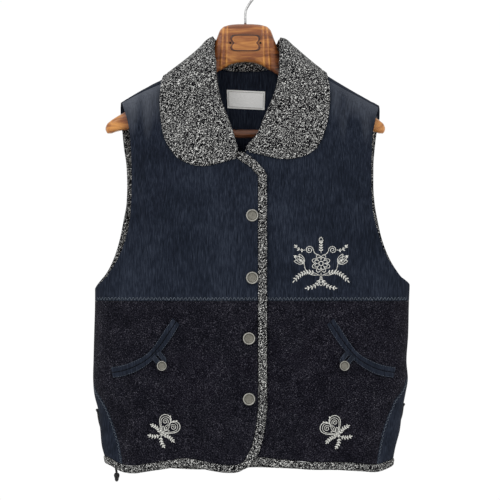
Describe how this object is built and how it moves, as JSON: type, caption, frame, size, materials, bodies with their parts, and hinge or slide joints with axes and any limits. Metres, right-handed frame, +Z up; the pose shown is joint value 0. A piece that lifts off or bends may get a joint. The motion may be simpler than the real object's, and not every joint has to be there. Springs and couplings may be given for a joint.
{
  "type": "folk vest on a wooden hanger",
  "caption": "Sleeveless folk vest with a denim yoke, dark wool skirt, tweed collar and bindings and silver buttons, buttoned up on a wooden hanger.",
  "frame": {"origin": "inner top of the hanger's hook, where a wardrobe rail carries it", "axes": "+Z up, the vest's front faces -Y, the wearer's left side is towards +X"},
  "size_m": [0.5065, 0.1052, 0.8163],
  "materials": {
    "denim": "washed indigo twill",
    "wool": "looped boucle wool",
    "tweed": "salt and pepper tweed",
    "satin": "plain woven satin",
    "cotton_cord": "braided cotton",
    "silver": "antiqued, raised rim",
    "wood": "varnished",
    "steel": "bright"
  },
  "bodies": {
    "root": {"armhole_facing_left": "tweed", "armhole_facing_right": "tweed", "back_skirt": "wool", "back_yoke": "denim", "collar_leaf": "tweed", "collar_stand": "tweed", "cord_end_left": "cotton_cord", "cord_end_right": "cotton_cord", "cord_knot_left": "cotton_cord", "cord_knot_right": "cotton_cord", "front_band_left": "tweed", "front_band_right": "tweed", "front_button_1": "silver", "front_button_2": "silver", "front_button_3": "silver", "front_button_4": "silver", "front_left_skirt": "wool", "front_left_yoke": "denim", "front_right_skirt": "wool", "front_right_yoke": "denim", "hanger_bar": "wood", "hanger_body": "wood", "hanger_hook": "steel", "hanger_plate": "wood", "hanger_screw_left": "steel", "hanger_screw_right": "steel", "hem_band_back": "tweed", "hem_band_left": "tweed", "hem_band_right": "tweed", "neck_label": "satin", "pocket_button_left": "silver", "pocket_button_right": "silver", "pocket_tab_left": "denim", "pocket_tab_right": "denim", "pocket_welt_lower_left": "denim", "pocket_welt_lower_right": "denim", "pocket_welt_upper_left": "denim", "pocket_welt_upper_right": "denim", "side_cord_left": "cotton_cord", "side_cord_right": "cotton_cord", "side_insert_left": "denim", "side_insert_right": "denim"}
  },
  "joints": []
}
